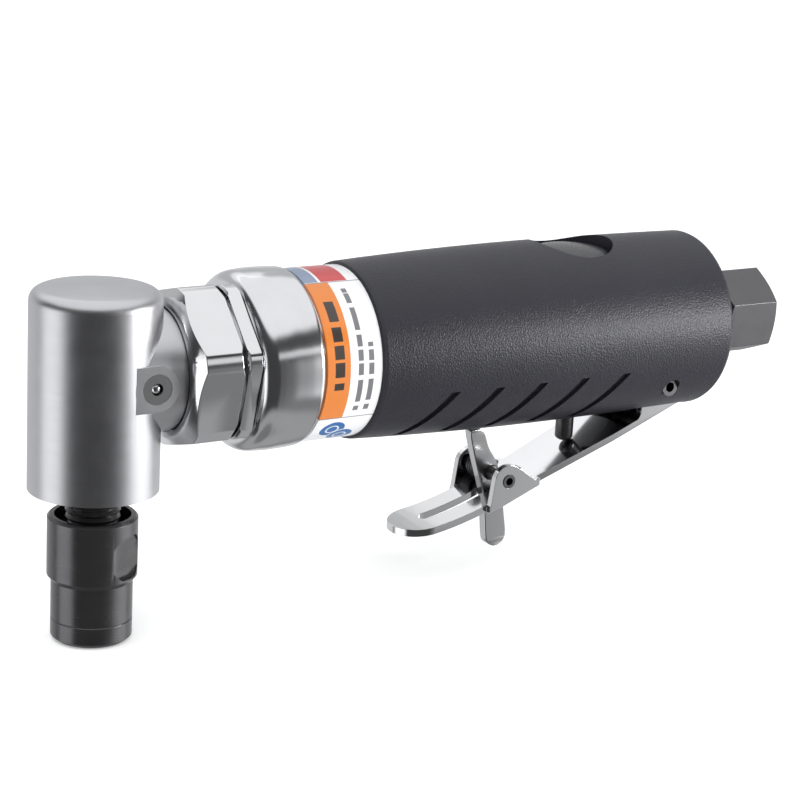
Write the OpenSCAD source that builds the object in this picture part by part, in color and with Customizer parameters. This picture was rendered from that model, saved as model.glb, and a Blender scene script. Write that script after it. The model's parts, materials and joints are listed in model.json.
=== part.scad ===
// Right-angle air die grinder, millimetres.
// The spindle runs along Z and the handle along X; the origin is the mouth of the collet bore.

/* [Angle head] */
// Outside diameter of the head cylinder
head_d = 26; // [25:0.5:28]
// Height of the head's lower edge above the collet mouth
head_bottom_z = 31; // [29:0.5:32]
// Height of the head's flat top edge above the collet mouth
head_top_z = 71.3; // [70:0.5:73]
// Height of the handle axis above the collet mouth
axis_z = 54; // [53:0.5:55]
// Diameter of the neck that joins the head to the handle
neck_d = 24.8; // [24:0.1:25.2]

/* [Collet and nut] */
// Diameter of the collet bore, for a quarter inch shank
collet_bore_d = 6.4; // [6.36:0.02:6.5]
// Outside diameter of the upper section of the collet nut
nut_upper_d = 18; // [17:0.5:20]
// Outside diameter of the lower section of the collet nut
nut_lower_d = 16.3; // [15.5:0.1:16.8]
// Height of the collet nut
nut_h = 25.7; // [24:0.1:26.5]
// Height of the step between the two sections of the nut
nut_step_z = 12.3; // [10:0.1:14]

/* [Coupling] */
// Width across the flats of the coupling nut and the lock nut
coupling_af = 30.8; // [29.6:0.1:31.2]
// Turn of the hexagons' near corner above the horizontal
coupling_turn = 16; // [0:1:59]
// Place of the coupling nut's front face along the handle
coupling_x = 14.2; // [14:0.1:14.4]

/* [Motor housing] */
// Largest diameter of the polished collar
collar_d = 37.1; // [36:0.1:38]
// Place where the collar ends and the label starts
label_x = 42; // [41.8:0.1:43]
// Outside diameter of the label
label_d = 35.6; // [35:0.1:35.8]

/* [Grip] */
// Place where the grip sleeve starts
grip_x = 54.6; // [54:0.1:55]
// Place of the rear end of the grip sleeve
grip_end_x = 144.8; // [144:0.1:146]
// Largest diameter of the grip sleeve
grip_d = 39.6; // [39:0.1:41]
// Number of slanting grooves on each side of the grip
groove_count = 5; // [1:1:5]
// Spacing of the grooves along the grip
groove_pitch = 10.75; // [9:0.25:11]

/* [Throttle] */
// Place of the lever's pivot pin along the handle
pivot_x = 129.7; // [129.4:0.1:130]
// Drop of the lever's pivot pin below the handle axis
pivot_drop = 11.3; // [11:0.1:11.6]
// Width of the throttle lever
lever_w = 16.4; // [15.8:0.2:17]
// Thickness of the lever's sheet
lever_t = 1.5; // [1.2:0.1:1.6]
// Slope of the lever's straight part
lever_slope = 22.3; // [22:0.1:22.6]
// Place of the lock pin along the handle
lock_x = 93.8; // [93:0.1:95]
// Drop of the lock pin below the handle axis
lock_drop = 30.8; // [30.4:0.1:31]
// Place of the throttle plunger along the handle
plunger_x = 113.4; // [113.2:0.1:113.6]

/* [Air inlet] */
// Width across the flats of the inlet bushing
inlet_af = 17.6; // [16.5:0.1:18]
// Diameter of the inlet's tapping for a quarter inch pipe thread
inlet_tap_d = 11.2; // [11:0.1:11.6]
// Place of the inlet's end face along the handle
inlet_x = 164; // [162:0.1:166]

/* [Gears] */
// Teeth on the pinion
pinion_teeth = 12; // [12:1:12]
// Teeth on the spindle's gear
gear_teeth = 15; // [15:1:15]

/* [Hidden] */

// Roundness of turned surfaces
$fn = 72;
// Overrun of a cutting shape past the face that it opens
over = 1;
// Gap between a part that turns and its bearing
running = 0.03;

head_r = head_d / 2;
neck_r = neck_d / 2;
head_fillet = 2.5;
head_dome = 0.45;
head_bore_r = 11;
head_bore_top = axis_z + 6.5;

// Spindle bearings: radius, bore radius and width
lower_bearing = [11, 4, 7];
upper_bearing = [7.5, 2.5, 5];
retainer_h = 2.3;
lower_bearing_z = head_bottom_z + retainer_h;
upper_bearing_z = head_bore_top + 1;

// Pinion bearings fit the neck's bore
pinion_bearing = [9.5, 3, 5];
front_pinion_x = 12.2;
spacer_w = 0.8;
rear_pinion_x = front_pinion_x + pinion_bearing[2] + spacer_w;
neck_end_x = 23.4;
flange_x = 16.3;
housing_front_x = 17.4;
thread_r = 13.9;
// Radius that the hexagons' corners are turned down to
corner_r = coupling_af / 2 + 1.45;
pilot_r = 13;

// Flat boss on the head with the grease fitting
boss_x = 7.4;
boss_z = axis_z - 0.5;
boss_r = 4.6;
boss_left_x = 3;
boss_face_y = -12.7;
fitting_r = 3.1;
fitting_depth = 3;
grease_ball_r = 1.2;
fitting_floor = 0.3;

coupling_end_x = 24.4;
lock_nut_x = [25.2, 28.1];
collar_x = [28.2, 41.4];
collar_r = collar_d / 2;
label_seat_r = label_d / 2 - 0.4;
shell_r = 16.2;
motor_bore_r = 13;
motor_bore_end = 98;

// Motor parts along the handle
front_plate_x = [33, 42];
cylinder_x = [42, 88];
rear_plate_x = [88, 97];
front_bearing_x = 34.5;
rear_bearing_x = 90;
rotor_front_bearing = [9.5, 3, 5];
rotor_rear_bearing = [8, 2.5, 5];
rotor_r = 9.8;
cylinder_bore_r = 11;
cylinder_offset = 0.9;
dowel_drop = 12.2;
vane_count = 4;
vane_t = 1.6;

// Air passages at the rear of the housing
valve_x = 121;
seat_w = 3;
valve_chamber_r = 6.5;
stem_chamber_r = 4.2;
bushing_front_x = 132;
bushing_thread_r = 7;
boss_end_x = 146.2;
exhaust_x = [124, 141.5];
exhaust_r = [9.2, 14.6];

// Regulator knob and its pocket on top of the grip
knob_x = 111.5;
knob_r = 8.4;
pocket_r = 9.2;
knob_base = 15.6;
knob_clearance = 0.3;
regulator_r = 4.5;

// Grip outline: the sleeve swells to its crown and drops a little at both ends
grip_crown_x = 105;
grip_front_drop = 1.35;
grip_rear_drop = 0.45;
grip_opening_r = 10.6;
groove_top = 6;
groove_bottom = 17;
groove_slant = 36;
groove_w = 1.7;
groove_depth = 0.9;
groove_x = 72.3;

// Lever outline below the handle axis
lever_end_x = 139.2;
lever_end_drop = 17.3;
lever_bend_x = 93;
lever_bend_r = 75;
lever_tip_x = 69.6;
lever_opening = [125, 141.8];
ear_r = 3.6;
pivot_ear_r = 3.4;
// Ends of the lock ears, in front of and behind the lock pin
ear_foot = [4.5, 8.2];
// The sheet is narrower than the ears in front, and widens again towards the pivot
lobe_w = lever_w - 2.8;
widen_x = [102, 121];
slot_w = 3;
slot_front_x = 77.8;
lock_t = 2.4;
pin_r = 1.5;
pivot_r = 2;

plunger_r = 2;
plunger_nose = 1.2;
plunger_foot = 25.85;
plunger_top = 4.1;

// Point on the handle axis line, [x, drop below the axis] to [x, z]
function below(p) = [p[0], axis_z - p[1]];

// Points along an arc, from one angle to another
function arc(centre, r, from, to, steps = 8) =
  [for (i = [0:steps]) let (a = from + (to - from) * i / steps)
    [centre[0] + r * cos(a), centre[1] + r * sin(a)]];

// Radius of the grip's outside at a place along the handle
function grip_r(x) = grip_d / 2 - (x < grip_crown_x
  ? grip_front_drop * pow((grip_crown_x - x) / (grip_crown_x - grip_x), 2)
  : grip_rear_drop * pow((x - grip_crown_x) / (grip_end_x - grip_crown_x), 2));

// Drop of the lever's lower face below the handle axis
bend_drop = lever_end_drop + (lever_end_x - lever_bend_x) * tan(lever_slope);
function bend_angle(x) = asin(sin(lever_slope) - (lever_bend_x - x) / lever_bend_r);
function lever_drop(x) = x > lever_bend_x
  ? lever_end_drop + (lever_end_x - x) * tan(lever_slope)
  : bend_drop + lever_bend_r * (cos(bend_angle(x)) - cos(lever_slope));

// Point where a line from an outside point touches a circle
function tangent(centre, r, from, side) =
  let (d = from - centre, far = norm(d), a = atan2(d[1], d[0]) + side * acos(r / far))
  centre + r * [cos(a), sin(a)];

// Moves children to a place on the handle axis, with their Z along the handle
module on_axis(x) {
  translate([x, 0, axis_z]) rotate([0, 90, 0]) children();
}

// Solid of revolution about the handle axis, from [x, radius] points
module turned_x(points) {
  on_axis(0) rotate_extrude() polygon([for (p = points) [p[1], p[0]]]);
}

// Solid of revolution about the spindle axis, from [z, radius] points
module turned_z(points) {
  rotate_extrude() polygon([for (p = points) [p[1], p[0]]]);
}

module disc_x(from, to, r) {
  on_axis(from) cylinder(r = r, h = to - from);
}

module ring_x(from, to, outer, inner) {
  difference() {
    disc_x(from, to, outer);
    disc_x(from - over, to + over, inner);
  }
}

module disc_z(from, to, r) {
  translate([0, 0, from]) cylinder(r = r, h = to - from);
}

module ring_z(from, to, outer, inner) {
  difference() {
    disc_z(from, to, outer);
    disc_z(from - over, to + over, inner);
  }
}

// Hexagonal prism along the handle with its near corner raised by turn degrees
module hexagon_x(from, to, across, turn) {
  on_axis(from) rotate([0, 0, -90 - turn])
    cylinder(r = across / sqrt(3), h = to - from, $fn = 6);
}

// Plate with an outline of [x, z] points, centred on a place across the handle
module plate(y, thickness) {
  translate([0, y + thickness / 2, 0]) rotate([90, 0, 0]) linear_extrude(thickness) children();
}

// Pin across the handle through an [x, z] point
module cross_pin(at, r, length) {
  translate([at[0], length / 2, at[1]]) rotate([90, 0, 0]) cylinder(r = r, h = length);
}

// Ball bearing as one ring with shields set back from its faces
module bearing_profile(size) {
  shield = 0.35;
  land = (size[0] - size[1]) * 0.24;
  rotate_extrude() difference() {
    translate([size[1] + running, 0]) square([size[0] - size[1] - running, size[2]]);
    for (z = [-over, size[2] - shield])
      translate([size[1] + land, z]) square([size[0] - size[1] - 2 * land, shield + over]);
  }
}

// Coil of round wire about Z as a swept tube
module coil(r, wire, pitch, turns, sides = 8, per_turn = 16) {
  rings = per_turn * turns;
  points = [for (i = [0:rings], k = [0:sides - 1])
    let (a = 360 * i / per_turn, s = 360 * k / sides, q = r + wire / 2 * cos(s))
    [q * cos(a), q * sin(a), pitch * i / per_turn + wire / 2 * sin(s)]];
  faces = concat(
    [[for (k = [sides - 1:-1:0]) k]],
    [for (i = [0:rings - 1], k = [0:sides - 1])
      let (a = i * sides + k, b = i * sides + (k + 1) % sides)
      [b, b + sides, a + sides, a]],
    [[for (k = [0:sides - 1]) rings * sides + k]]);
  polyhedron(points, faces, convexity = 6);
}

// Bevel gear teeth as a section that narrows towards the point where the shafts cross.
// far and near are the section planes' distances from that point.
pitch_angle = [atan(pinion_teeth / gear_teeth), atan(gear_teeth / pinion_teeth)];
addendum_angle = 4.4;
dedendum_angle = 6.1;
tooth_share = 0.78;
flank_narrowing = 0.5;
module bevel_teeth(teeth, pitch_a, far, near) {
  root_r = far * tan(pitch_a - dedendum_angle);
  tip_r = far * tan(pitch_a + addendum_angle);
  pitch_r = far * tan(pitch_a);
  half = 90 / teeth * tooth_share;
  slope = half * flank_narrowing / (tip_r - pitch_r);
  function flank(r) = half - slope * (r - pitch_r);
  linear_extrude(far - near, scale = near / far) union() {
    circle(r = root_r, $fn = 6 * teeth);
    for (i = [0:teeth - 1]) rotate(i * 360 / teeth) polygon([
      [root_r * 0.9, -root_r * sin(flank(root_r))],
      [root_r * cos(flank(root_r)), -root_r * sin(flank(root_r))],
      [pitch_r * cos(half), -pitch_r * sin(half)],
      [tip_r * cos(flank(tip_r)), -tip_r * sin(flank(tip_r))],
      [tip_r * cos(flank(tip_r)), tip_r * sin(flank(tip_r))],
      [pitch_r * cos(half), pitch_r * sin(half)],
      [root_r * cos(flank(root_r)), root_r * sin(flank(root_r))],
      [root_r * 0.9, root_r * sin(flank(root_r))]]);
  }
}

// ---- Angle head ----

module angle_head() {
  shoulder = head_top_z - head_fillet;
  color("silver") difference() {
    union() {
      turned_z(concat([[head_bottom_z, 0], [head_bottom_z, head_r]],
        [for (a = [0:15:90]) [shoulder + head_fillet * sin(a),
          head_r - head_fillet + head_fillet * cos(a)]],
        [[head_top_z + head_dome * 0.75, head_r / 2], [head_top_z + head_dome, 0]]));
      disc_x(0, neck_end_x, neck_r);
      disc_x(flange_x, housing_front_x, pilot_r + 0.6);
      disc_x(housing_front_x, neck_end_x, pilot_r);
      intersection() {
        union() {
          translate([boss_x, 0, boss_z]) rotate([90, 0, 0]) cylinder(r = boss_r, h = -boss_face_y);
          translate([boss_left_x, boss_face_y, boss_z - boss_r])
            cube([boss_x - boss_left_x, -boss_face_y, 2 * boss_r]);
        }
        disc_z(0, head_top_z, head_r + boss_r);
      }
    }
    disc_z(head_bottom_z - over, head_bore_top, head_bore_r);
    disc_z(head_bore_top - over, upper_bearing_z + upper_bearing[2] + 0.4, upper_bearing[0]);
    disc_x(0, neck_end_x + over, pinion_bearing[0]);
    translate([boss_x, boss_face_y + fitting_depth, boss_z]) rotate([90, 0, 0])
      cylinder(r = fitting_r, h = fitting_depth + over);
  }
}

module grease_fitting() {
  color("darkgray") difference() {
    translate([boss_x, boss_face_y + fitting_depth, boss_z]) rotate([90, 0, 0])
      cylinder(r = fitting_r, h = fitting_depth - 0.1);
    translate([boss_x, boss_face_y + fitting_depth - fitting_floor, boss_z]) rotate([90, 0, 0])
      cylinder(r = grease_ball_r + 0.02, h = fitting_depth + over);
  }
}

module grease_ball() {
  set_back = 0.15;
  color("gainsboro") translate([boss_x, boss_face_y + grease_ball_r + set_back, boss_z])
    sphere(r = grease_ball_r);
}

module bearing_retainer() {
  color("dimgray") ring_z(head_bottom_z, head_bottom_z + retainer_h, head_bore_r, 6);
}

module lower_spindle_bearing() {
  color("lightsteelblue") translate([0, 0, lower_bearing_z]) bearing_profile(lower_bearing);
}

module upper_spindle_bearing() {
  color("lightsteelblue") translate([0, 0, upper_bearing_z]) bearing_profile(upper_bearing);
}

module front_pinion_bearing() {
  color("lightsteelblue") on_axis(front_pinion_x) bearing_profile(pinion_bearing);
}

module rear_pinion_bearing() {
  color("lightsteelblue") on_axis(rear_pinion_x) bearing_profile(pinion_bearing);
}

module bearing_spacer() {
  spacer_x = front_pinion_x + pinion_bearing[2];
  color("gray") ring_x(spacer_x, spacer_x + spacer_w, pinion_bearing[0], 8);
}

// ---- Coupling between head and handle ----

module coupling_nut() {
  shoulder_x = flange_x - 0.1;
  rear_x = coupling_end_x;
  color("whitesmoke") difference() {
    intersection() {
      hexagon_x(coupling_x, rear_x, coupling_af, coupling_turn);
      turned_x([[coupling_x, 0], [coupling_x, 13.7], [coupling_x + 0.3, 14.4],
        [coupling_x + 1.9, corner_r], [rear_x - 0.5, corner_r],
        [rear_x, corner_r - 0.5], [rear_x, 0]]);
    }
    disc_x(coupling_x - over, rear_x, neck_r + 0.3);
    disc_x(shoulder_x, rear_x + over, thread_r);
  }
}

module lock_nut() {
  color("whitesmoke") difference() {
    intersection() {
      hexagon_x(lock_nut_x[0], lock_nut_x[1], coupling_af - 0.2, coupling_turn - 1);
      turned_x([[lock_nut_x[0], 0], [lock_nut_x[0], corner_r - 0.5],
        [lock_nut_x[0] + 0.4, corner_r], [lock_nut_x[1], corner_r],
        [lock_nut_x[1], 0]]);
    }
    disc_x(lock_nut_x[0] - over, lock_nut_x[1] + over, thread_r);
  }
}

// ---- Motor housing ----

// Outline of the polished collar as [x, radius] points
function collar_outline() = concat(
  [[collar_x[0], 15.4]],
  arc([collar_x[0] + 3.2, collar_r - 3.5], 3.2, 180, 105),
  [[collar_x[0] + 6.2, collar_r], [collar_x[0] + 9, collar_r - 0.05]],
  arc([collar_x[1] - 0.9, collar_r - 1.15], 0.9, 85, 0, 5),
  [[collar_x[1], label_seat_r]]);

module exhaust_groove(side) {
  groove = [64, 126];
  translate([groove[0], side * (shell_r - 0.6) - 2, axis_z - 4]) cube([groove[1] - groove[0], 4, 8]);
  translate([groove[0] + 3, side * shell_r / 2, axis_z]) rotate([side * -90, 0, 0])
    cylinder(r = 2.4, h = shell_r);
}

module motor_housing() {
  web_passage_z = axis_z + 8.4;
  color("gainsboro") difference() {
    union() {
      turned_x(concat([[housing_front_x, 0], [housing_front_x, thread_r - 0.05],
        [collar_x[0], thread_r - 0.05]], collar_outline(),
        [[grip_x, label_seat_r], [grip_x, shell_r],
        [exhaust_x[1], shell_r], [exhaust_x[1], 0]]));
      disc_x(exhaust_x[1] - over, boss_end_x, exhaust_r[0] - 0.1);
    }
    disc_x(housing_front_x - over, motor_bore_end, motor_bore_r);
    disc_x(motor_bore_end + 5, valve_x - seat_w, stem_chamber_r);
    disc_x(valve_x - seat_w, bushing_front_x, valve_chamber_r);
    disc_x(bushing_front_x, boss_end_x + over, bushing_thread_r);
    difference() {
      disc_x(exhaust_x[0], boss_end_x, exhaust_r[1]);
      disc_x(exhaust_x[0] - over, boss_end_x + over, exhaust_r[0] - 0.1);
    }
    translate([knob_x, 0, axis_z + 2.5]) cylinder(r = regulator_r, h = shell_r);
    translate([knob_x, 0, axis_z + knob_base - knob_clearance]) cylinder(r = pocket_r, h = shell_r);
    translate([motor_bore_end - over, 0, web_passage_z]) rotate([0, 90, 0])
      cylinder(r = 2.5, h = knob_x - motor_bore_end + over);
    translate([plunger_x, 0, axis_z - shell_r - over]) cylinder(r = 3.6, h = shell_r - 1);
    for (side = [-1, 1]) exhaust_groove(side);
    lever_mouth();
    cross_pin(below([pivot_x, pivot_drop]), pivot_r + 0.02, 2 * shell_r + over);
  }
}

// Opening under the handle where the lever's rear end goes in
module lever_mouth() {
  w = lever_w + 0.9;
  translate([lever_opening[0], -w / 2, axis_z - grip_d / 2 - over])
    cube([lever_opening[1] - lever_opening[0], w,
      grip_d / 2 + over - pivot_drop + pivot_ear_r + 0.4]);
}

module info_label() {
  color("white") ring_x(label_x, grip_x - 0.1, label_d / 2, label_seat_r);
}

module wave_washer() {
  color("gray") ring_x(front_plate_x[0] - 0.7, front_plate_x[0] - 0.1, motor_bore_r - 0.1, 10);
}

// End plate with a bearing pocket that opens away from the motor
module front_end_plate() {
  color("slategray") difference() {
    disc_x(front_plate_x[0], front_plate_x[1], motor_bore_r);
    disc_x(front_plate_x[0] - over, front_plate_x[1] + over, 3.6);
    disc_x(front_plate_x[0] - over, front_bearing_x + rotor_front_bearing[2],
      rotor_front_bearing[0]);
  }
}

module front_rotor_bearing() {
  color("lightsteelblue") on_axis(front_bearing_x) bearing_profile(rotor_front_bearing);
}

module motor_cylinder() {
  color("darkgray") difference() {
    disc_x(cylinder_x[0], cylinder_x[1], motor_bore_r);
    translate([0, 0, cylinder_offset]) disc_x(cylinder_x[0] - over, cylinder_x[1] + over,
      cylinder_bore_r);
    translate([cylinder_x[0] - over, 0, axis_z - dowel_drop]) rotate([0, 90, 0])
      cylinder(r = 0.75, h = cylinder_x[1] - cylinder_x[0] + 2 * over, $fn = 24);
    for (i = [0:4]) translate([cylinder_x[0] + 15 + 4 * i, 0, axis_z]) rotate([90, 0, 0])
      cylinder(r = 1.2, h = 2 * motor_bore_r, center = true, $fn = 24);
  }
}

module cylinder_dowel() {
  color("gray") translate([cylinder_x[0], 0, axis_z - dowel_drop]) rotate([0, 90, 0])
    cylinder(r = 0.74, h = cylinder_x[1] - cylinder_x[0], $fn = 24);
}

module rear_end_plate() {
  color("slategray") difference() {
    disc_x(rear_plate_x[0], rear_plate_x[1], motor_bore_r);
    disc_x(rear_plate_x[0] - over, rear_bearing_x + over, 3.2);
    disc_x(rear_bearing_x, rear_plate_x[1] + over, rotor_rear_bearing[0]);
    for (side = [-1, 1]) translate([rear_plate_x[0] - over, side * 6, axis_z + 8.4])
      rotate([0, 90, 0]) cylinder(r = 1.4, h = 12);
  }
}

module rear_rotor_bearing() {
  color("lightsteelblue") on_axis(rear_bearing_x) bearing_profile(rotor_rear_bearing);
}

// ---- Grip ----

// One groove on both sides of the grip, between two heights below the axis
module grip_groove(x) {
  r = grip_r(x - 4);
  intersection() {
    translate([x, 0, axis_z - groove_top]) rotate([0, groove_slant, 0])
      translate([-groove_w / 2, -grip_d, -grip_d]) cube([groove_w, 2 * grip_d, 2 * grip_d]);
    ring_x(x - 20, x + 10, grip_d, r - groove_depth);
    translate([x - 20, -grip_d, axis_z - groove_bottom])
      cube([40, 2 * grip_d, groove_bottom - groove_top]);
  }
}

module grip_sleeve() {
  end_round = [2.4, 8];
  end_r = grip_r(grip_end_x - end_round[0]);
  color("#3b3b40") difference() {
    turned_x(concat(
      [[grip_x, shell_r], [grip_x, grip_r(grip_x) - 0.5], [grip_x + 0.3, grip_r(grip_x) - 0.1]],
      [for (i = [0:16]) let (x = grip_x + 1 + (grip_end_x - end_round[0] - grip_x - 1) * i / 16)
        [x, grip_r(x)]],
      [for (a = [15:15:90]) [grip_end_x - end_round[0] + end_round[0] * sin(a),
        end_r - end_round[1] + end_round[1] * cos(a)]],
      [[grip_end_x, grip_opening_r], [grip_end_x - 2.3, grip_opening_r],
      [grip_end_x - 2.3, shell_r]]));
    translate([knob_x, 0, axis_z]) cylinder(r = pocket_r, h = grip_d);
    translate([plunger_x, 0, axis_z - grip_d]) cylinder(r = 3.6, h = grip_d - 10);
    lever_mouth();
    cross_pin(below([pivot_x, pivot_drop]), pivot_r + 0.02, grip_d + over);
    for (i = [0:groove_count - 1]) grip_groove(groove_x + i * groove_pitch);
  }
}

module lever_pivot_pin() {
  length = 31.4;
  color("darkgray") difference() {
    cross_pin(below([pivot_x, pivot_drop]), pivot_r, length);
    cross_pin(below([pivot_x, pivot_drop]), pivot_r * 0.55, length + over);
  }
}

// ---- Throttle valve, regulator and air inlet ----

module valve_seat() {
  color("goldenrod") ring_x(valve_x - seat_w, valve_x - 0.05, valve_chamber_r, 3.2);
}

module valve_spring() {
  wire = 0.7;
  turns = 4;
  length = 6.4;
  color("silver") on_axis(bushing_front_x - length - wire / 2 - 0.1)
    coil(3.2, wire, length / turns, turns);
}

module plunger_bush() {
  color("goldenrod") translate([plunger_x, 0, axis_z]) ring_z(-15.2, -6.4, 3.6, plunger_r + 0.03);
}

module exhaust_muffler() {
  color("lightgray") difference() {
    ring_x(exhaust_x[0] + 0.5, exhaust_x[1] - 0.6, exhaust_r[1] - 0.1, exhaust_r[0]);
    translate([exhaust_x[0], -exhaust_r[1] - over, axis_z - exhaust_r[1] - over])
      cube([exhaust_x[1], 2 * exhaust_r[1] + 2 * over, exhaust_r[1] + over - 4]);
  }
}

module exhaust_deflector() {
  holes = 9;
  color("dimgray") difference() {
    ring_x(exhaust_x[1] + 0.05, grip_end_x - 2.4, exhaust_r[1], exhaust_r[0]);
    for (i = [0:holes - 1]) on_axis(exhaust_x[1] - over) rotate([0, 0, 60 + i * 30])
      translate([11.9, 0, 0]) cylinder(r = 1.6, h = 4, $fn = 24);
  }
}

module inlet_screen() {
  x = inlet_x - 16;
  color("silver") difference() {
    disc_x(x, x + 0.6, 4.6);
    for (a = [0:60:300]) on_axis(x - over) rotate([0, 0, a]) translate([2.6, 0, 0])
      cylinder(r = 0.9, h = 3, $fn = 24);
    disc_x(x - over, x + 2, 0.9);
  }
}

module inlet_bushing() {
  hex_x = 151;
  tap_depth = 13;
  corner_r = inlet_af / sqrt(3);
  chamfer = 0.6;
  color("gray") difference() {
    union() {
      disc_x(bushing_front_x, boss_end_x, bushing_thread_r);
      disc_x(boss_end_x, hex_x + 0.1, 8.2);
      intersection() {
        hexagon_x(hex_x, inlet_x, inlet_af, 22);
        turned_x([[hex_x, 0], [hex_x, corner_r - 0.4], [hex_x + 0.3, corner_r + 0.05],
          [inlet_x - chamfer, corner_r + 0.05], [inlet_x, inlet_af / 2 - 0.1], [inlet_x, 0]]);
      }
    }
    disc_x(bushing_front_x - over, inlet_x - 16, 3.6);
    disc_x(inlet_x - 16, inlet_x, 4.6);
    disc_x(inlet_x - tap_depth, inlet_x + over, inlet_tap_d / 2);
  }
}

module throttle_plunger() {
  color("#202022") translate([plunger_x, 0, axis_z]) difference() {
    union() {
      disc_z(-plunger_foot + plunger_nose, -plunger_top, plunger_r);
      translate([0, 0, -plunger_foot + plunger_nose]) scale([1, 1, plunger_nose / plunger_r])
        sphere(r = plunger_r);
    }
    ring_z(-10.6, -9.6, plunger_r + over, plunger_r - 0.85);
  }
}

module plunger_o_ring() {
  color("black") translate([plunger_x, 0, axis_z - 10.1]) rotate_extrude()
    translate([plunger_r - 0.42, 0]) circle(r = 0.4, $fn = 16);
}

module throttle_valve() {
  tip_x = 110.2;
  color("lightgray") union() {
    disc_x(tip_x, valve_x + 2.4, 1.3);
    disc_x(valve_x + 0.8, valve_x + 2.4, 5);
  }
}

module valve_face_seal() {
  color("black") ring_x(valve_x, valve_x + 0.8, 5, 1.3);
}

module regulator_knob() {
  rim = 1.3;
  dome = 1.5;
  color("#4a4a50") translate([knob_x, 0, axis_z]) difference() {
    union() {
      turned_z(concat([[knob_base, 0], [knob_base, knob_r - 0.3], [knob_base + 0.3, knob_r],
        [knob_base + rim, knob_r]], [for (a = [15:15:90]) [knob_base + rim + dome * sin(a),
        knob_r * cos(a)]]));
      disc_z(4.6, knob_base + 0.5, regulator_r - 0.04);
    }
    translate([-regulator_r - over, 0, 8.4]) rotate([0, 90, 0])
      cylinder(r = 2.4, h = regulator_r + 2);
    translate([0, 0, 4]) cylinder(r = 2.4, h = 4.4);
    ring_z(13, 14.2, regulator_r + over, regulator_r - 0.88);
  }
}

module regulator_o_ring() {
  color("black") translate([knob_x, 0, axis_z + 13.6]) rotate_extrude()
    translate([regulator_r - 0.45, 0]) circle(r = 0.4, $fn = 16);
}

// ---- Spindle and collet ----

spindle_thread_r = 5.5;
collet_r = 4.2;
module spindle() {
  thread_z = [3.2, 30.4];
  pitch = 1.27;
  depth = 0.5;
  ridges = floor((thread_z[1] - thread_z[0]) / pitch);
  color("#2a2a2c") difference() {
    turned_z(concat([[2.5, 0], [2.5, spindle_thread_r - depth]],
      [for (i = [0:ridges - 1], k = [0:1])
        [thread_z[0] + (i + k / 2) * pitch, spindle_thread_r - depth * (1 - k)]],
      [[thread_z[1], spindle_thread_r - 0.1], [lower_bearing_z, spindle_thread_r - 0.1],
      [lower_bearing_z, lower_bearing[1]], [49.4, lower_bearing[1]], [49.8, 3.4],
      [49.8, upper_bearing[1]], [upper_bearing_z + upper_bearing[2], upper_bearing[1]],
      [upper_bearing_z + upper_bearing[2], 0]]));
    disc_z(0, 25, collet_r + 0.02);
  }
}

module bevel_gear() {
  outer_r = 10.3;
  hub_z = lower_bearing_z + lower_bearing[2] + 0.3;
  far = 9;
  near = 4.9;
  color("#77777c") difference() {
    union() {
      disc_z(hub_z, axis_z - far + 0.01, 6);
      disc_z(hub_z + 1.6, axis_z - far + 0.01, outer_r);
      intersection() {
        translate([0, 0, axis_z - far]) bevel_teeth(gear_teeth, pitch_angle[1], far, near);
        disc_z(axis_z - far, axis_z - near, outer_r);
      }
    }
    disc_z(hub_z - over, axis_z, lower_bearing[1]);
  }
}

module collet() {
  slit = 0.6;
  color("#8c8c90") difference() {
    turned_z([[0, 0], [0, 4.3], [1.2, 4.5], [2, 4.9], [2.4, collet_r],
      [24, collet_r], [24, 0]]);
    disc_z(-over, 24 + over, collet_bore_d / 2);
    for (a = [30, 150, 270]) rotate([0, 0, a]) translate([0, -slit / 2, -over])
      cube([8, slit, 17]);
  }
}

module collet_nut() {
  upper_r = nut_upper_d / 2;
  lower_r = nut_lower_d / 2;
  chamfer = 0.7;
  scribe_z = 4.3;
  flat_y = upper_r - 1.1;
  flat_h = 8.8;
  flat_turn = 32;
  color("#1e1e20") difference() {
    turned_z([[0, 0], [0, lower_r - chamfer], [chamfer, lower_r],
      [scribe_z - 0.15, lower_r], [scribe_z, lower_r - 0.15], [scribe_z + 0.15, lower_r],
      [nut_step_z, lower_r], [nut_step_z + 1, upper_r], [nut_h - 0.5, upper_r],
      [nut_h, upper_r - 0.5], [nut_h, 0]]);
    disc_z(22, nut_h + over, 7.6);
    disc_z(2.4, 23, spindle_thread_r + 0.02);
    disc_z(-over, 3, 4.95);
    for (a = [0, 180]) rotate([0, 0, a + flat_turn]) intersection() {
      translate([-upper_r, flat_y, nut_step_z + 1.4]) cube([2 * upper_r, upper_r, flat_h]);
      translate([0, 0, nut_step_z + 1.4 + flat_h / 2]) rotate([-90, 0, 0])
        cylinder(r = flat_h / 2 + 0.4, h = 2 * upper_r);
    }
  }
}

// ---- Motor ----

module rotor() {
  spline_x = [22.6, 27];
  color("#9a9a9e") difference() {
    union() {
      disc_x(cylinder_x[0] + 0.2, cylinder_x[1] - 0.2, rotor_r);
      disc_x(spline_x[1], cylinder_x[0] + 0.3, rotor_front_bearing[1]);
      disc_x(spline_x[0], spline_x[1] + 0.1, 1.6);
      disc_x(cylinder_x[1] - 0.3, rear_bearing_x + rotor_rear_bearing[2], rotor_rear_bearing[1]);
    }
    for (i = [0:vane_count - 1]) on_axis(cylinder_x[0] - over) rotate([0, 0, i * 360 / vane_count])
      translate([rotor_r - 5.6, -vane_t / 2 - 0.05, 0])
        cube([8, vane_t + 0.1, cylinder_x[1] - cylinder_x[0] + 2 * over]);
  }
}

module rotor_vanes() {
  color("#6b4a2b") for (i = [0:vane_count - 1])
    on_axis(cylinder_x[0] + 0.3) rotate([0, 0, i * 360 / vane_count])
      translate([rotor_r - 5.5, -vane_t / 2, 0])
        cube([5.4, vane_t, cylinder_x[1] - cylinder_x[0] - 0.6]);
}

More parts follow.
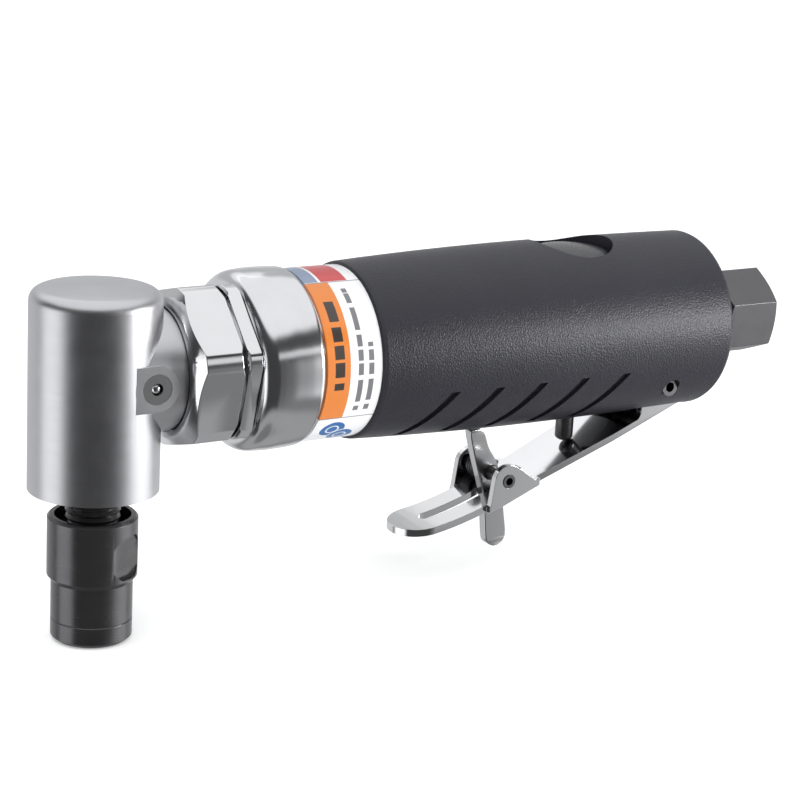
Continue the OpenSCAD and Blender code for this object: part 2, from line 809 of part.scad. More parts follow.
module bevel_pinion() {
  outer_r = 8.8;
  far = 10.6;
  near = 6.1;
  color("#85858a") difference() {
    union() {
      intersection() {
        translate([far, 0, axis_z]) rotate([0, -90, 0]) rotate([0, 0, 180 / pinion_teeth])
          bevel_teeth(pinion_teeth, pitch_angle[0], far, near);
        disc_x(near, far + 0.01, outer_r);
      }
      disc_x(far - 0.01, far + 0.9, outer_r);
      disc_x(far, front_pinion_x, 4.5);
      disc_x(far, 26.9, pinion_bearing[1]);
    }
    disc_x(22.5, 30, 1.62);
  }
}

// ---- Lever and lock ----

pivot = below([pivot_x, pivot_drop]);
lock_at = below([lock_x, lock_drop]);

// Side outline of the lever's floor
module floor_outline() {
  steps = 10;
  thick = lever_t / cos(lever_slope);
  run = [for (i = [0:steps]) lever_tip_x + (lever_bend_x - lever_tip_x) * i / steps];
  lower = concat([for (x = run) [x, axis_z - lever_drop(x)]],
    [[lever_end_x, axis_z - lever_end_drop]]);
  polygon(concat(lower, [for (i = [len(lower) - 1:-1:0]) lower[i] + [0, thick]]));
}

module lever_plan() {
  r = lobe_w / 2;
  half = lever_w / 2;
  translate([lever_tip_x + r, 0]) circle(r = r);
  translate([lever_tip_x + r, -r]) square([widen_x[0] - lever_tip_x, lobe_w]);
  translate([lock_x - ear_foot[0], -half]) square([ear_foot[0] + ear_foot[1], lever_w]);
  polygon([[widen_x[0], -r], [widen_x[1], -half], [lever_end_x + over, -half],
    [lever_end_x + over, half], [widen_x[1], half], [widen_x[0], r]]);
}

// Side outline of the slot, with a slanted end that clears the folded lock
module slot_outline() {
  polygon([[slot_front_x, 0], [slot_front_x, lock_at[1] + 2], lock_at + [2.4, 2],
    lock_at + [16.4, -3], [lock_at[0] + 16.4, 0]]);
}

// Ear that carries the lock pin, as a rounded tab standing on the floor
module lock_ear_outline() {
  front = lock_x - ear_foot[0];
  rear = lock_x + ear_foot[1];
  feet = [[front, axis_z - lever_drop(front) + 0.3], [rear, axis_z - lever_drop(rear) + 0.6]];
  translate(lock_at) circle(r = ear_r);
  polygon([feet[0], tangent(lock_at, ear_r, feet[0], -1), lock_at + [0, ear_r * 0.9],
    tangent(lock_at, ear_r, feet[1], 1), feet[1]]);
}

// Ear that hangs on the pivot pin
module pivot_ear_outline() {
  front_x = pivot_x - 1.5;
  fillet = 0.9;
  foot = axis_z - lever_drop(front_x - fillet) + lever_t;
  translate(pivot) circle(r = pivot_ear_r);
  polygon([[front_x - fillet, foot - 1], [front_x - fillet, foot],
    [front_x - 0.3 * fillet, foot + fillet], [front_x, foot + 2 * fillet], [front_x, pivot[1]],
    pivot + [0, 2.5], pivot + [2.6, 1.6], [lever_end_x, axis_z - lever_end_drop + 0.8],
    [lever_end_x, axis_z - lever_end_drop + 0.3]]);
}

module throttle_lever() {
  ear_y = (lever_w - lever_t) / 2;
  color("gainsboro") difference() {
    union() {
      intersection() {
        plate(0, lever_w) floor_outline();
        linear_extrude(axis_z) lever_plan();
      }
      for (side = [-1, 1]) {
        plate(side * ear_y, lever_t) lock_ear_outline();
        plate(side * ear_y, lever_t) pivot_ear_outline();
      }
    }
    translate([slot_front_x, 0, 0]) cylinder(r = slot_w / 2, h = axis_z);
    plate(0, slot_w) slot_outline();
    cross_pin(lock_at, pin_r, lever_w + 2 * over);
    cross_pin(pivot, pivot_r + running, lever_w + 2 * over);
  }
}

module lock_pin() {
  color("#3a3a3e") difference() {
    cross_pin(lock_at, pin_r, lever_w + 0.4);
    cross_pin(lock_at, pin_r * 0.57, lever_w + over);
  }
}

module lock_spring() {
  wire = 0.8;
  turns = 4;
  color("#2c2c30") translate([lock_at[0], lock_t / 2 + wire + 0.1, lock_at[1]])
    rotate([-90, 0, 0]) coil(pin_r + wire / 2 + 0.06, wire, wire + 0.12, turns);
}

// Plate that props the lever away from the grip, with a rounded finger tab below
module lock_lever() {
  tab = lock_at + [2.2, -14.6];
  tab_r = 2.7;
  hub_r = 3.4;
  color("lightgray") difference() {
    union() {
      cross_pin(lock_at, hub_r, lock_t);
      cross_pin(tab, tab_r, lock_t);
      plate(0, lock_t) polygon([lock_at + [-6.1, 9.5], lock_at + [-5.5, 10.3],
        lock_at + [-3.4, 10.3], lock_at + [-2.1, 9.2], lock_at + [-0.7, 5.4], lock_at + [1.3, 2.7],
        lock_at + [2.6, -1], lock_at + [3.8, -7.7], tab + [tab_r - 0.1, 0.5],
        tab + [-tab_r + 0.1, 0.5], lock_at + [-1.4, -6.9], lock_at + [-2.6, -1]]);
    }
    cross_pin(lock_at, pin_r + running, 2 * lock_t);
  }
}

angle_head();
grease_fitting();
grease_ball();
bearing_retainer();
lower_spindle_bearing();
upper_spindle_bearing();
front_pinion_bearing();
rear_pinion_bearing();
bearing_spacer();
coupling_nut();
lock_nut();
motor_housing();
info_label();
wave_washer();
front_end_plate();
front_rotor_bearing();
motor_cylinder();
cylinder_dowel();
rear_end_plate();
rear_rotor_bearing();
grip_sleeve();
lever_pivot_pin();
valve_seat();
valve_spring();
plunger_bush();
exhaust_muffler();
exhaust_deflector();
inlet_screen();
inlet_bushing();
spindle();
bevel_gear();
collet();
collet_nut();
rotor();
rotor_vanes();
bevel_pinion();
throttle_lever();
lock_pin();
lock_spring();
lock_lever();
throttle_plunger();
plunger_o_ring();
throttle_valve();
valve_face_seal();
regulator_knob();
regulator_o_ring();
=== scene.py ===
import json
import math

import bmesh
import bpy
from mathutils import Matrix, Vector

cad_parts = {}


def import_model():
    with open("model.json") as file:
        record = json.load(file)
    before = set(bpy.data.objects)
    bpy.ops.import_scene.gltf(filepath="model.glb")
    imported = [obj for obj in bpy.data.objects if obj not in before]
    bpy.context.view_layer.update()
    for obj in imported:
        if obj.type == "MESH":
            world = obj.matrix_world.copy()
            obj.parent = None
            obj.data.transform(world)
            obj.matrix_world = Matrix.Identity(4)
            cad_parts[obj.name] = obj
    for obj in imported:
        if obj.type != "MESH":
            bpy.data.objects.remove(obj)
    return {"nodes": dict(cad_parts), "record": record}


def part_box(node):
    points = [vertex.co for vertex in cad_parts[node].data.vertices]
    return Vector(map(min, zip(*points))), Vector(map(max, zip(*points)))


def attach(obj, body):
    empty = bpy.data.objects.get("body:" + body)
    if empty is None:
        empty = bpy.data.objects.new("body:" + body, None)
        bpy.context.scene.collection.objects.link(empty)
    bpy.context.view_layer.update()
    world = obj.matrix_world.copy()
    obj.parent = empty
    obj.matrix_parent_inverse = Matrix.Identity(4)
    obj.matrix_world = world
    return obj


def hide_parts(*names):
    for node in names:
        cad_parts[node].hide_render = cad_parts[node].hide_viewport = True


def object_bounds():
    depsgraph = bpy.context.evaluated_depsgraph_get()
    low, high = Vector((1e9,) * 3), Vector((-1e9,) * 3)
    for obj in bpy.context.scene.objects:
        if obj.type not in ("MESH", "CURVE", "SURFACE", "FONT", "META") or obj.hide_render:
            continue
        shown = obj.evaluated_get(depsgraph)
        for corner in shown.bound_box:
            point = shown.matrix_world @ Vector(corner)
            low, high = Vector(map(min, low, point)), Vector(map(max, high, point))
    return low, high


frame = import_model()
cad_lo, cad_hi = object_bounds()
NODES = frame["nodes"]
MM = 0.001


# ---------------------------------------------------------------- node materials

class Paint:
    """A node material on one Principled shader, with helpers for procedural detail."""

    def __init__(self, name, metallic, roughness, colour, **fixed):
        self.mat = bpy.data.materials.new(name)
        self.mat.use_nodes = True
        self.nodes = self.mat.node_tree.nodes
        self.links = self.mat.node_tree.links
        self.shader = self.nodes["Principled BSDF"]
        self.shader.inputs["Metallic"].default_value = metallic
        self.shader.inputs["Roughness"].default_value = roughness
        self.shader.inputs["Base Color"].default_value = (*colour, 1)
        for key, value in fixed.items():
            self.shader.inputs[key.replace("_", " ")].default_value = value
        self.coords = self.nodes.new("ShaderNodeTexCoord").outputs["Object"]
        self.height = None

    def put(self, socket, value):
        if isinstance(value, bpy.types.NodeSocket):
            self.links.new(value, socket)
        else:
            socket.default_value = value

    def math(self, operation, a, b=0.0, c=0.0):
        n = self.nodes.new("ShaderNodeMath")
        n.operation = operation
        for socket, value in zip(n.inputs, (a, b, c)):
            self.put(socket, value)
        return n.outputs[0]

    def scaled(self, scale):
        n = self.nodes.new("ShaderNodeMapping")
        self.links.new(self.coords, n.inputs["Vector"])
        n.inputs["Scale"].default_value = scale
        return n.outputs[0]

    def noise(self, scale, detail=3.0, roughness=0.55, stretch=(1, 1, 1), distortion=0.0):
        n = self.nodes.new("ShaderNodeTexNoise")
        self.links.new(self.scaled(stretch), n.inputs["Vector"])
        n.inputs["Scale"].default_value = scale
        n.inputs["Detail"].default_value = detail
        n.inputs["Roughness"].default_value = roughness
        n.inputs["Distortion"].default_value = distortion
        return n.outputs["Fac"]

    def ramp(self, fac, low, high, to_low=0.0, to_high=1.0):
        n = self.nodes.new("ShaderNodeMapRange")
        n.interpolation_type = "SMOOTHSTEP"
        self.put(n.inputs["Value"], fac)
        for key, value in (("From Min", low), ("From Max", high), ("To Min", to_low), ("To Max", to_high)):
            self.put(n.inputs[key], value)
        return n.outputs[0]

    def mix(self, fac, a, b):
        n = self.nodes.new("ShaderNodeMix")
        n.data_type = "RGBA"
        self.put(n.inputs[0], fac)
        for socket, value in ((n.inputs[6], a), (n.inputs[7], b)):
            self.put(socket, (*value, 1) if isinstance(value, tuple) else value)
        return n.outputs[2]

    def colour(self, value):
        self.links.new(value, self.shader.inputs["Base Color"])

    def rough(self, value):
        self.links.new(value, self.shader.inputs["Roughness"])

    def bump(self, value, depth):
        n = self.nodes.new("ShaderNodeBump")
        n.inputs["Strength"].default_value = 1.0
        n.inputs["Distance"].default_value = depth
        self.links.new(value, n.inputs["Height"])
        if self.height is not None:
            self.links.new(self.height, n.inputs["Normal"])
        self.height = n.outputs["Normal"]
        self.links.new(self.height, self.shader.inputs["Normal"])

    def xyz(self):
        n = self.nodes.new("ShaderNodeSeparateXYZ")
        self.links.new(self.coords, n.inputs[0])
        return n.outputs

    def within(self, value, low, high, soft):
        rise = self.ramp(value, low - soft, low + soft)
        fall = self.ramp(value, high - soft, high + soft, 1.0, 0.0)
        return self.math("MULTIPLY", rise, fall)


def metal(name, colour, roughness, spread, stretch, grain=0.000004, tint=0.06, metallic=1.0):
    """Machined metal: fine tool lines across the stretch axis, smudges and small colour changes."""
    p = Paint(name, metallic, roughness, colour)
    lines = p.noise(1.0, 4, 0.6, stretch)
    smudge = p.noise(220, 4, 0.6)
    dark = tuple(c * (1 - tint) for c in colour)
    light = tuple(min(1.0, c * (1 + tint)) for c in colour)
    p.colour(p.mix(smudge, dark, light))
    wear = p.math("MULTIPLY_ADD", smudge, spread, roughness - spread / 2)
    p.rough(p.math("MULTIPLY_ADD", lines, spread, wear))
    p.bump(lines, grain)
    return p.mat


def plastic(name, colour, roughness, cell, depth, tint=0.12, **fixed):
    """Moulded plastic with a fine pebbled texture, cell grains to the metre."""
    p = Paint(name, 0.0, roughness, colour, **fixed)
    pebble = p.noise(cell, 1.5, 0.5)
    fine = p.noise(cell * 2.2, 3, 0.6)
    cloud = p.noise(70, 3, 0.5)
    dark = tuple(c * (1 - tint) for c in colour)
    light = tuple(c * (1 + tint) for c in colour)
    p.colour(p.mix(cloud, dark, light))
    p.rough(p.math("MULTIPLY_ADD", fine, 0.12, roughness - 0.06))
    p.bump(pebble, depth)
    p.bump(fine, depth * 0.25)
    return p.mat


def label_film():
    """Printed film round the housing: plain blocks of colour and no lettering."""
    p = Paint("label_film", 0.0, 0.28, (0.86, 0.86, 0.85), Coat_Weight=0.35, Coat_Roughness=0.12)
    lo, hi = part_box("info_label")
    mid = (lo + hi) / 2
    x, y, z = p.xyz()
    up = p.math("SUBTRACT", z, mid.z)
    front = p.math("MULTIPLY", y, -1.0)
    turn = p.math("MULTIPLY", p.math("ARCTAN2", up, front), 180 / math.pi)
    base = p.mix(p.noise(300, 2), (0.76, 0.76, 0.78), (0.81, 0.81, 0.82))

    def block(under, colour, x_from, x_to, a_from, a_to):
        across = p.within(x, lo.x + x_from * MM, lo.x + x_to * MM, 0.06 * MM)
        around = p.within(turn, a_from, a_to, 0.3)
        return p.mix(p.math("MULTIPLY", across, around), under, colour)

    def dashes(under, colour, x_from, x_to, a_from, a_to, count):
        """A line of plain bars of uneven length, where a line of print would be."""
        across = p.within(x, lo.x + x_from * MM, lo.x + x_to * MM, 0.05 * MM)
        around = p.within(turn, a_from, a_to, 0.3)
        swing = p.math("SINE", p.math("MULTIPLY", turn, count * 2 * math.pi / (a_to - a_from)))
        uneven = p.math("SINE", p.math("MULTIPLY", turn, count * 3.7 / (a_to - a_from)))
        solid = p.ramp(p.math("ADD", swing, p.math("MULTIPLY", uneven, 0.35)), -0.82, -0.70)
        mask = p.math("MULTIPLY", p.math("MULTIPLY", across, around), solid)
        return p.mix(mask, under, colour)

    ink = (0.03, 0.03, 0.035)
    orange = (0.66, 0.20, 0.035)
    base = block(base, orange, -1, 5.2, -32.5, 67)
    base = dashes(base, (0.04, 0.03, 0.025), 1.7, 3.9, -10, 50, 5)
    base = block(base, (0.20, 0.25, 0.36), -1, 3.2, 68, 112)
    base = block(base, (0.50, 0.035, 0.04), 3.8, 9.8, 68, 112)
    base = block(base, ink, -1, 20, 67.0, 67.6)
    base = block(base, ink, -1, 20, -33.1, -32.5)
    base = dashes(base, (0.16, 0.16, 0.17), 7.0, 8.2, -27, 60, 9)
    base = dashes(base, (0.16, 0.16, 0.17), 9.4, 10.6, -27, 20, 5)
    for place, level in ((4.6, -46.0), (7.7, -56.5)):
        reach = p.math("MULTIPLY", p.math("SUBTRACT", turn, level), (hi.z - lo.z) / 2 * math.pi / 180)
        along = p.math("SUBTRACT", x, lo.x + place * MM)
        away = p.math("SQRT", p.math("MULTIPLY_ADD", reach, reach, p.math("MULTIPLY", along, along)))
        base = p.mix(p.ramp(away, 3.0 * MM, 3.1 * MM, 1.0, 0.0), base, (0.80, 0.80, 0.81))
        base = p.mix(p.ramp(away, 2.7 * MM, 2.8 * MM, 1.0, 0.0), base, (0.014, 0.12, 0.35))
        ring = p.within(away, 1.15 * MM, 1.5 * MM, 0.06 * MM)
        base = p.mix(ring, base, (0.70, 0.72, 0.76))
    p.colour(base)
    p.bump(p.noise(900, 2), 0.000006)
    return p.mat


def rubber(name):
    p = Paint(name, 0.0, 0.6, (0.015, 0.015, 0.016))
    p.rough(p.ramp(p.noise(700, 3), 0.2, 0.8, 0.5, 0.72))
    p.bump(p.noise(1500, 2), 0.00001)
    return p.mat


def felt():
    p = Paint("muffler_felt", 0.0, 0.95, (0.45, 0.43, 0.39), Sheen_Weight=0.4)
    fibres = p.noise(1200, 5, 0.7, (1, 1, 1), 1.5)
    p.colour(p.mix(fibres, (0.30, 0.29, 0.26), (0.58, 0.56, 0.51)))
    p.bump(fibres, 0.0001)
    return p.mat


MATS = {
    "satin_aluminium": metal("satin_aluminium", (0.61, 0.61, 0.63), 0.31, 0.10,
                             (60, 60, 2600), 0.000006),
    "polished_aluminium": metal("polished_aluminium", (0.74, 0.74, 0.755), 0.13, 0.05,
                                (3000, 40, 40), 0.0000015),
    "chrome": metal("chrome", (0.76, 0.76, 0.77), 0.08, 0.05, (200, 200, 200), 0.000002, 0.03),
    "black_oxide_steel": metal("black_oxide_steel", (0.11, 0.108, 0.112), 0.20, 0.10,
                               (60, 60, 2400), 0.000006, 0.2, metallic=0.85),
    "bright_steel": metal("bright_steel", (0.58, 0.58, 0.585), 0.18, 0.03,
                          (1800, 90, 90), 0.0000003, 0.03),
    "dark_steel": metal("dark_steel", (0.15, 0.147, 0.152), 0.30, 0.12, (2200, 60, 60), 0.000003, 0.12),
    "grip_polymer": plastic("grip_polymer", (0.022, 0.022, 0.029), 0.36, 2700, 0.00011,
                            Specular_IOR_Level=0.36),
    "knob_polymer": plastic("knob_polymer", (0.040, 0.040, 0.045), 0.26, 1800, 0.000006, 0.06),
    "vane_composite": plastic("vane_composite", (0.22, 0.13, 0.07), 0.6, 1500, 0.00002),
    "black_plastic": plastic("black_plastic", (0.018, 0.018, 0.02), 0.5, 1500, 0.00002),
    "seal_rubber": rubber("seal_rubber"),
    "brass": metal("brass", (0.68, 0.48, 0.20), 0.25, 0.10, (1800, 60, 60)),
    "muffler_felt": felt(),
    "label_film": label_film(),
}


def dress(obj, slot):
    obj.data.materials.clear()
    obj.data.materials.append(MATS[slot])


for part in frame["record"]["subparts"]:
    dress(NODES[part["node"]], part["material_slot"])


# ---------------------------------------------------------------- pieces

BODY_OF = {n: b for b, ns in frame["record"]["behaviour"]["bodies"].items() for n in ns}
SLOT_OF = {p["node"]: p["material_slot"] for p in frame["record"]["subparts"]}


def piece(name, mesh, node):
    """A new object in a CAD node's material, riding on that node's body."""
    obj = bpy.data.objects.new(name, mesh)
    bpy.context.scene.collection.objects.link(obj)
    slot = SLOT_OF[node]
    mesh.materials.clear()
    mesh.materials.append(MATS[slot])
    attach(obj, BODY_OF[node])
    return obj


SHARP = math.radians(32)


def eased(node, width):
    """The node's shape with its sharp edges rounded, as a new piece."""
    source = NODES[node].data
    bm = bmesh.new()
    bm.from_mesh(source)
    bmesh.ops.remove_doubles(bm, verts=bm.verts, dist=0.002 * MM)
    bmesh.ops.dissolve_limit(bm, angle_limit=math.radians(0.6), verts=bm.verts, edges=bm.edges)
    bmesh.ops.recalc_face_normals(bm, faces=bm.faces)
    for f in bm.faces:
        f.smooth = True
    for e in bm.edges:
        e.smooth = not (len(e.link_faces) == 2 and e.calc_face_angle(0) > SHARP)
    mesh = bpy.data.meshes.new(node + "_eased")
    bm.to_mesh(mesh)
    bm.free()
    obj = piece(node + "_eased", mesh, node)
    bevel = obj.modifiers.new("round", "BEVEL")
    bevel.width = width * MM
    bevel.segments = 3
    bevel.limit_method = "ANGLE"
    bevel.angle_limit = SHARP
    bevel.use_clamp_overlap = True
    bevel.harden_normals = True
    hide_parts(node)


for node, width in (("angle_head", 0.25), ("coupling_nut", 0.18), ("lock_nut", 0.15), ("collet_nut", 0.22),
                    ("throttle_lever", 0.6), ("inlet_bushing", 0.25)):
    eased(node, width)


def lathe(name, node, profile, turns=256, sharp=40):
    """A turned piece from (x, radius) points in millimetres, about the handle's axis."""
    lo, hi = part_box("motor_housing")
    axis_z = (lo.z + hi.z) / 2
    bm = bmesh.new()
    rings = []
    for place, radius in profile:
        ring = []
        for i in range(turns):
            a = 2 * math.pi * i / turns
            u, v = radius * MM * math.cos(a), radius * MM * math.sin(a)
            ring.append(bm.verts.new((place * MM, u, axis_z + v)))
        rings.append(ring)
    for a, b in zip(rings, rings[1:] + rings[:1]):
        for i in range(turns):
            j = (i + 1) % turns
            bm.faces.new((a[i], a[j], b[j], b[i]))
    bmesh.ops.recalc_face_normals(bm, faces=bm.faces)
    for f in bm.faces:
        f.smooth = True
    for e in bm.edges:
        e.smooth = e.calc_face_angle(0) < math.radians(sharp)
    mesh = bpy.data.meshes.new(name)
    bm.to_mesh(mesh)
    bm.free()
    piece(name, mesh, node)


def curve_through(points, steps):
    """Points along a smooth curve through the given ones."""
    out = []
    n = len(points)
    for i in range(n - 1):
        p0, p1, p2, p3 = points[max(i - 1, 0)], points[i], points[i + 1], points[min(i + 2, n - 1)]
        for k in range(steps):
            t = k / steps
            out.append(tuple(0.5 * (2 * b + (c - a) * t + (2 * a - 5 * b + 4 * c - d) * t * t
                                    + (3 * b - a - 3 * c + d) * t ** 3)
                             for a, b, c, d in zip(p0, p1, p2, p3)))
    out.append(points[-1])
    return out


def collar_skin():
    """Polished collar as one smooth turned surface over the housing's own collar."""
    lo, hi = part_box("info_label")
    label_x = lo.x / MM
    label_r = (hi.z - lo.z) / 2 / MM
    front_x = label_x - 13.78
    crown = label_r + 0.78
    nose_r = 3.22
    tail_r = 0.92
    inner_r = 15.2
    outline = [(front_x, inner_r), (front_x, inner_r + 0.2)]
    for a in range(180, 96, -6):
        outline.append((front_x + 3.2 + nose_r * math.cos(math.radians(a)),
                        crown - 3.46 + nose_r * math.sin(math.radians(a))))
    crown_points = [(front_x + 3.0, crown - 0.235), (front_x + 4.4, crown - 0.1),
                    (front_x + 6.2, crown), (front_x + 8.2, crown - 0.02),
                    (front_x + 10.4, crown - 0.08), (front_x + 12.2, crown - 0.19)]
    outline += curve_through(crown_points, 8)
    for a in range(84, -1, -7):
        outline.append((label_x - 1.5 + tail_r * math.cos(math.radians(a)),
                        crown - 1.13 + tail_r * math.sin(math.radians(a))))
    outline += [(label_x - 0.58, 17.3), (label_x - 3, 17.0), (front_x + 3, inner_r)]
    lathe("collar_skin", "motor_housing", outline)


def lock_plate():
    """Lock lever as a flat plate with a flowing outline, rounded edges and its pin hole."""
    lo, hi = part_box("lock_lever")
    pin_lo, pin_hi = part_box("lock_pin")
    pin = (pin_lo + pin_hi) / 2
    edge = 0.25
    hole_r = 1.56
    inset = 0.02 * MM
    corners = [(-3.5, 10.25), (-2.2, 9.1), (-0.9, 5.8), (0.9, 3.0), (2.4, -0.6), (3.3, -5.0), (4.2, -10.0),
               (4.85, -14.2), (4.3, -16.2), (2.2, -17.25), (0.1, -16.2), (-0.5, -14.2), (-1.0, -10.0),
               (-1.7, -5.0), (-2.9, -1.0), (-4.2, 3.0), (-5.9, 9.0), (-5.5, 10.2)]
    outline = curve_through(corners[-2:] + corners + corners[:2], 8)[16:-16]
    hole = [(hole_r * math.cos(math.radians(a)), hole_r * math.sin(math.radians(a)))
            for a in range(0, 360, 8)]
    curve = bpy.data.curves.new("lock_plate", "CURVE")
    curve.dimensions = "2D"
    curve.fill_mode = "BOTH"
    curve.extrude = (hi.y - lo.y) / 2 - edge * MM
    curve.bevel_depth = edge * MM
    curve.bevel_resolution = 3
    curve.offset = -edge * MM
    for points in (outline, hole):
        spline = curve.splines.new("POLY")
        spline.points.add(len(points) - 1)
        for target, (x, z) in zip(spline.points, points):
            x = min(max(pin.x + x * MM, lo.x + inset), hi.x - inset)
            z = min(max(pin.z + z * MM, lo.z + inset), hi.z - inset)
            target.co = (x, z, 0, 1)
        spline.use_cyclic_u = True
    drawn = bpy.data.objects.new("lock_outline", curve)
    mesh = bpy.data.meshes.new_from_object(drawn)
    bpy.data.objects.remove(drawn)
    mesh.name = "lock_plate"
    mesh.transform(Matrix.Translation((0, (lo.y + hi.y) / 2, 0)) @ Matrix.Rotation(math.pi / 2, 4, "X"))
    bm = bmesh.new()
    bm.from_mesh(mesh)
    bmesh.ops.remove_doubles(bm, verts=bm.verts, dist=0.001 * MM)
    bmesh.ops.recalc_face_normals(bm, faces=bm.faces)
    for f in bm.faces:
        f.smooth = True
    bm.to_mesh(mesh)
    bm.free()
    obj = piece("lock_plate", mesh, "lock_lever")
    obj.modifiers.new("even", "WEIGHTED_NORMAL").weight = 90
    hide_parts("lock_lever")


def spring_wire():
    """Lock spring: a close coil round the pin with one leg on the lever and one behind the plate."""
    lo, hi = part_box("lock_spring")
    wire = 0.4 * MM
    centre = (lo + hi) / 2
    radius = (hi.x - lo.x) / 2 - wire
    turns = 4
    steps = 24
    points = []
    for i in range(turns * steps + 1):
        a = 2 * math.pi * i / steps
        y = lo.y + wire + (hi.y - lo.y - 2 * wire) * i / (turns * steps)
        points.append(Vector((centre.x + radius * math.cos(a), y, centre.z + radius * math.sin(a))))
    tail = points[-1] + Vector((0.2 * MM, 0, -1.6 * MM))
    points.append(tail)
    head = points[0] + Vector((0.2 * MM, -0.05 * MM, -2.2 * MM))
    points.insert(0, head)
    curve = bpy.data.curves.new("lock_spring_wire", "CURVE")
    curve.dimensions = "3D"
    curve.bevel_depth = wire
    curve.bevel_resolution = 5
    curve.use_fill_caps = True
    spline = curve.splines.new("POLY")
    spline.points.add(len(points) - 1)
    for target, p in zip(spline.points, points):
        target.co = (*p, 1)
    spline.use_smooth = True
    curve.materials.append(MATS["dark_steel"])
    obj = bpy.data.objects.new("lock_spring_wire", curve)
    bpy.context.scene.collection.objects.link(obj)
    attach(obj, BODY_OF["lock_spring"])
    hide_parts("lock_spring")


lock_plate()
spring_wire()
collar_skin()
for node in ("lever_pivot_pin", "lock_pin"):
    dress(NODES[node], "dark_steel")


# ---------------------------------------------------------------- floor, light and camera

AZIMUTH = -32.05
ELEVATION = 15.63
ROLL = 3.005
DISTANCE = 0.4923
LENS = 104.93
AIM = Vector((0.07014, 0.0, 0.04171))


def camera():
    a = math.radians(AZIMUTH)
    e = math.radians(ELEVATION)
    r = math.radians(ROLL)
    back = Vector((math.sin(a) * math.cos(e), -math.cos(a) * math.cos(e), math.sin(e)))
    right = Vector((math.cos(a), math.sin(a), 0))
    up = back.cross(right)
    side = right * math.cos(r) + up * math.sin(r)
    top = up * math.cos(r) - right * math.sin(r)
    data = bpy.data.cameras.new("camera")
    data.lens = LENS
    data.sensor_width = 36
    data.clip_start = 0.01
    cam = bpy.data.objects.new("camera", data)
    bpy.context.scene.collection.objects.link(cam)
    turn = Matrix((side, top, back)).transposed().to_4x4()
    cam.matrix_world = Matrix.Translation(AIM + back * DISTANCE) @ turn
    bpy.context.scene.camera = cam


def floor():
    bm = bmesh.new()
    bmesh.ops.create_grid(bm, x_segments=8, y_segments=8, size=4.0)
    mesh = bpy.data.meshes.new("floor")
    bm.to_mesh(mesh)
    bm.free()
    obj = bpy.data.objects.new("floor", mesh)
    obj.location.z = cad_lo.z - 0.2 * MM
    bpy.context.scene.collection.objects.link(obj)
    p = Paint("floor", 0.0, 0.9, (0.93, 0.93, 0.93), Emission_Strength=0.3)
    p.shader.inputs["Emission Color"].default_value = (1, 1, 1, 1)
    p.colour(p.mix(p.noise(3, 2), (0.92, 0.92, 0.92), (0.94, 0.94, 0.94)))
    mesh.materials.append(p.mat)
    obj.visible_glossy = False


def area(name, place, aim, size, power, glossy=True):
    light = bpy.data.lights.new(name, "AREA")
    light.energy = power
    light.size = size
    obj = bpy.data.objects.new(name, light)
    bpy.context.scene.collection.objects.link(obj)
    place = Vector(place)
    obj.location = place
    obj.rotation_euler = (Vector(aim) - place).to_track_quat("-Z", "Y").to_euler()
    obj.visible_glossy = glossy


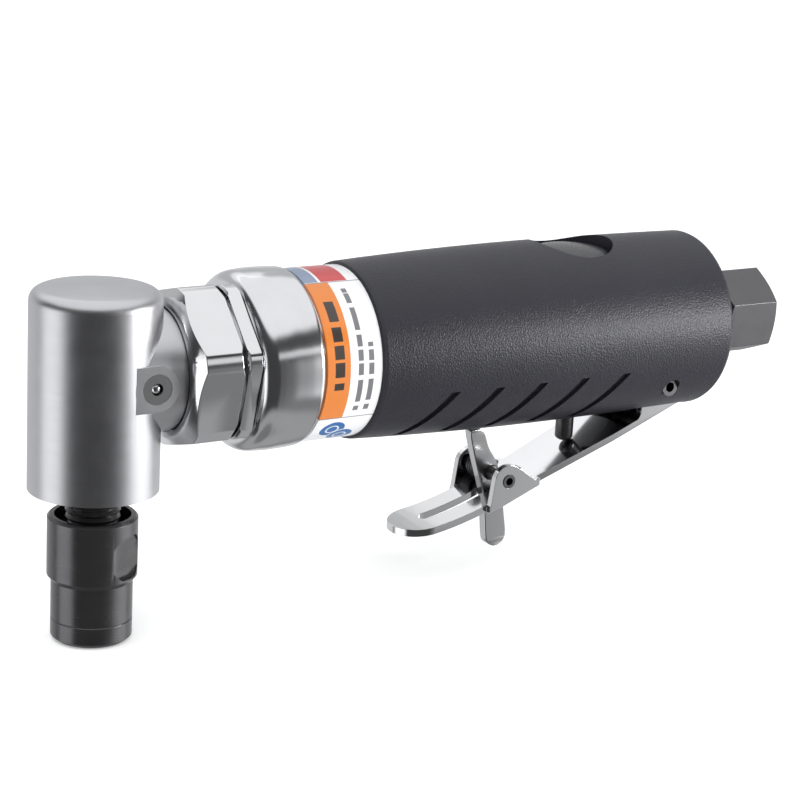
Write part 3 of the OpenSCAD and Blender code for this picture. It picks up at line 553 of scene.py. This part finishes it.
def world():
    """Studio round the object: bright top, side panels, a lit strip at the right and a dark camera side."""
    w = bpy.data.worlds.new("studio")
    w.use_nodes = True
    tree = w.node_tree
    link = tree.links.new
    background = tree.nodes["Background"]

    def node(kind, *inputs, **settings):
        n = tree.nodes.new("ShaderNode" + kind)
        for key, value in settings.items():
            setattr(n, key, value)
        for socket, value in zip(n.inputs, inputs):
            if isinstance(value, bpy.types.NodeSocket):
                link(value, socket)
            else:
                socket.default_value = value
        return n.outputs[0]

    def step(value, low, high, to_low=0.0, to_high=1.0):
        return node("MapRange", value, low, high, to_low, to_high, interpolation_type="SMOOTHSTEP")

    def scalar(operation, a, b=0.0):
        return node("Math", a, b, operation=operation)

    turn = math.radians(AZIMUTH)
    direction = tree.nodes.new("ShaderNodeTexCoord").outputs["Generated"]
    dots = []
    for axis in ((math.cos(turn), math.sin(turn), 0), (math.sin(turn), -math.cos(turn), 0), (0, 0, 1)):
        n = tree.nodes.new("ShaderNodeVectorMath")
        n.operation = "DOT_PRODUCT"
        link(direction, n.inputs[0])
        n.inputs[1].default_value = axis
        dots.append(n.outputs["Value"])
    side, toward, up = dots
    round_ = scalar("MULTIPLY", scalar("ARCTAN2", side, toward), 180 / math.pi)
    height = scalar("MULTIPLY", scalar("ARCSINE", up), 180 / math.pi)

    def band(value, low, high, soft):
        rise = step(value, low - soft, low + soft)
        return scalar("MULTIPLY", rise, step(value, high - soft, high + soft, 1.0, 0.0))

    def add(total, mask, level):
        return scalar("ADD", total, scalar("MULTIPLY", mask, level))

    beside = band(height, -33, 6, 5)
    left = scalar("MULTIPLY", band(round_, -92, -46, 8), beside)
    right = scalar("MULTIPLY", step(round_, 58, 96), step(round_, 112, 132, 1.0, 0.0))
    right = scalar("MULTIPLY", right, beside)
    behind = scalar("MAXIMUM", step(round_, 112, 135), step(round_, -112, -96, 1.0, 0.0))
    behind = scalar("MULTIPLY", behind, band(height, -40, 38, 6))
    far_side = scalar("MULTIPLY", band(height, 27, 41, 2.5), step(round_, -125, -110, 1.0, 0.0))
    strip = scalar("MULTIPLY", band(height, 12.5, 19, 1), band(round_, 40, 105, 5))
    front = scalar("MULTIPLY", band(round_, -52, 52, 14), band(height, -50, 30, 6))
    sides = scalar("MULTIPLY", scalar("SUBTRACT", 1.0, front), band(height, -70, 8, 4))
    light = scalar("MULTIPLY", step(height, 33, 42), 1.0)
    light = add(light, left, 1.3)
    light = add(light, right, 1.5)
    light = add(light, behind, 0.5)
    light = add(light, far_side, 0.45)
    light = add(light, sides, 0.18)
    light = add(light, strip, 0.8)
    light = add(light, step(height, -54, -44, 1.0, 0.0), 0.16)
    light = scalar("ADD", light, 0.06)
    seen = tree.nodes.new("ShaderNodeLightPath").outputs["Is Camera Ray"]
    strength = scalar("ADD", scalar("MULTIPLY", light, scalar("SUBTRACT", 1.0, seen)), seen)
    link(strength, background.inputs["Strength"])
    background.inputs["Color"].default_value = (0.98, 0.99, 1.0, 1)
    bpy.context.scene.world = w


camera()
floor()
world()
middle = (cad_lo + cad_hi) / 2
area("top_soft", (-0.15, -0.15, 0.85), middle, 0.8, 2.4, glossy=False)
area("front_fill", (-0.45, -0.75, 0.40), middle, 0.5, 2.2, glossy=False)
area("rear_sheen", (0.305, -0.205, 0.082), (0.15, 0.0, 0.05), 0.10, 0.6)
bpy.context.scene.view_settings.view_transform = "Standard"
